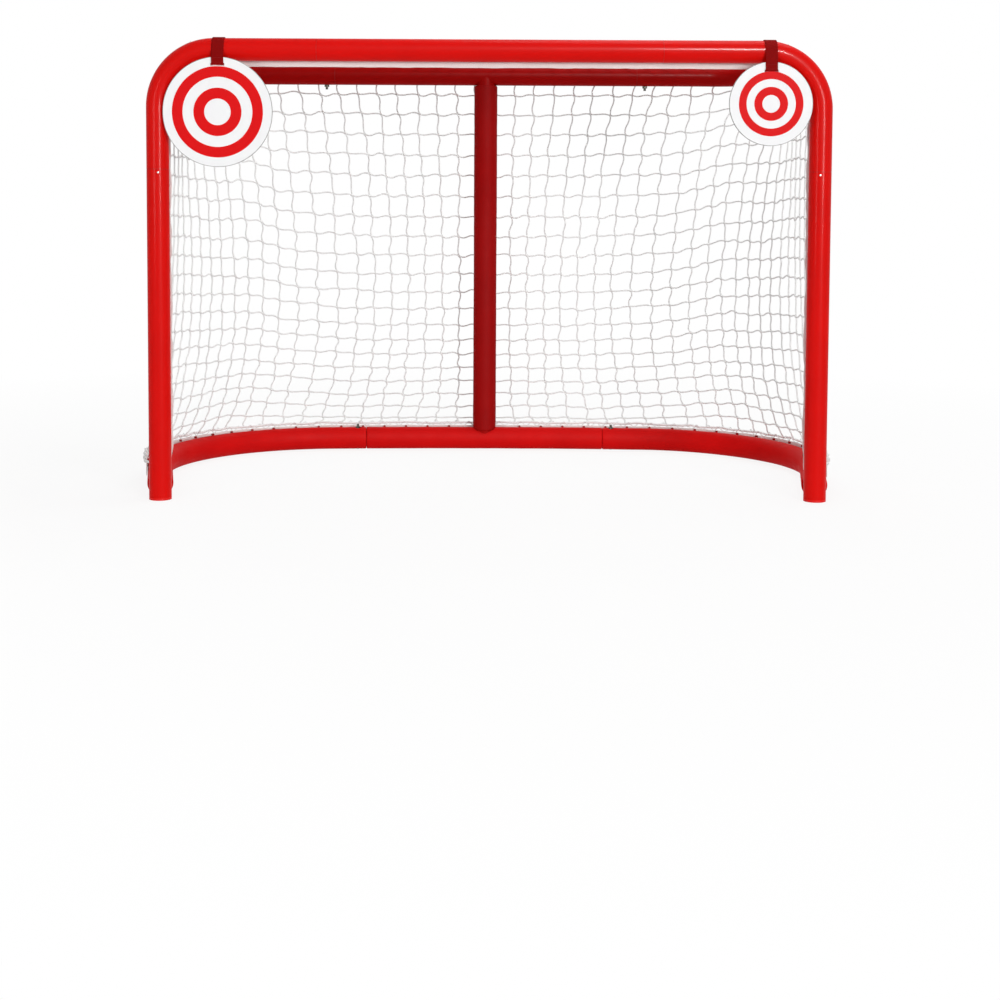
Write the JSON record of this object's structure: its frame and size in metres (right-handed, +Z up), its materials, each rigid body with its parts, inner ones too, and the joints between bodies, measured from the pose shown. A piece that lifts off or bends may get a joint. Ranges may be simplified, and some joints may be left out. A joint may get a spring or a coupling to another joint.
{
  "type": "hockey goal net",
  "caption": "Steel tube hockey goal with a padded curved rear base, a bellied cord net and two round targets that hang and swing from the crossbar.",
  "frame": {"origin": "on the floor at the middle of the goal's bounding box", "axes": "+Z up, +X to the goal's left post-to-post direction as seen from behind, that is to the right seen from the mouth, +Y from the mouth towards the back of the net"},
  "size_m": [1.9806, 1.0663, 1.25],
  "materials": {
    "frame_red": "gloss powder coat",
    "pad_red": "matte vinyl sleeve over foam",
    "net_white": "knotless polyester cord",
    "hem_white": "woven webbing",
    "sleeve_zinc": "zinc plated",
    "bolt_black": "black oxide",
    "cap_red": "moulded",
    "target_white": "smooth sheet",
    "target_red": "vinyl film",
    "strap_maroon": "hook and loop webbing"
  },
  "bodies": {
    "goal": {"crossbar_tube": "frame_red", "corner_tube_left": "frame_red", "corner_tube_right": "frame_red", "post_left": "frame_red", "post_right": "frame_red", "crossbar_sleeves": "sleeve_zinc", "post_sleeves": "sleeve_zinc", "front_bolts": "bolt_black", "front_weld_nuts": "sleeve_zinc", "foot_cap_left": "cap_red", "foot_cap_right": "cap_red", "top_socket_left": "frame_red", "top_socket_right": "frame_red", "base_socket_left": "frame_red", "base_socket_right": "frame_red", "top_rail_left": "frame_red", "top_rail_centre": "frame_red", "top_rail_right": "frame_red", "base_rail_left": "frame_red", "base_rail_centre": "frame_red", "base_rail_right": "frame_red", "centre_post": "frame_red", "top_rail_sleeves": "sleeve_zinc", "base_rail_sleeves": "sleeve_zinc", "top_socket_sleeves": "sleeve_zinc", "base_socket_sleeves": "sleeve_zinc", "top_rail_bolts": "bolt_black", "top_rail_nuts": "bolt_black", "base_rail_bolts": "bolt_black", "base_rail_nuts": "bolt_black", "base_pad_left": "pad_red", "base_pad_centre": "pad_red", "base_pad_right": "pad_red", "centre_post_pad": "pad_red", "crossbar_hem": "hem_white", "post_hem_left": "hem_white", "post_hem_right": "hem_white", "base_hem_left": "hem_white", "base_hem_right": "hem_white", "base_net_pegs": "frame_red", "post_net_pegs": "frame_red", "crossbar_net_pegs": "frame_red", "net_side_left": "net_white", "net_corner_left": "net_white", "net_back_left": "net_white", "net_side_right": "net_white", "net_corner_right": "net_white", "net_back_right": "net_white", "net_roof": "net_white"},
    "large_target": {"large_target_plate": "target_white", "large_target_rings": "target_red", "large_target_strap": "strap_maroon"},
    "small_target": {"small_target_plate": "target_white", "small_target_rings": "target_red", "small_target_strap": "strap_maroon"}
  },
  "joints": [
    {"name": "large_target_swing", "type": "hinge", "parent": "goal", "child": "large_target", "pos_m": [-0.71985, -0.49454, 1.20585], "axis": [-1, 0, 0], "range_deg": [0, 80]},
    {"name": "small_target_swing", "type": "hinge", "parent": "goal", "child": "small_target", "pos_m": [0.74385, -0.49454, 1.20435], "axis": [-1, 0, 0], "range_deg": [0, 80]}
  ]
}
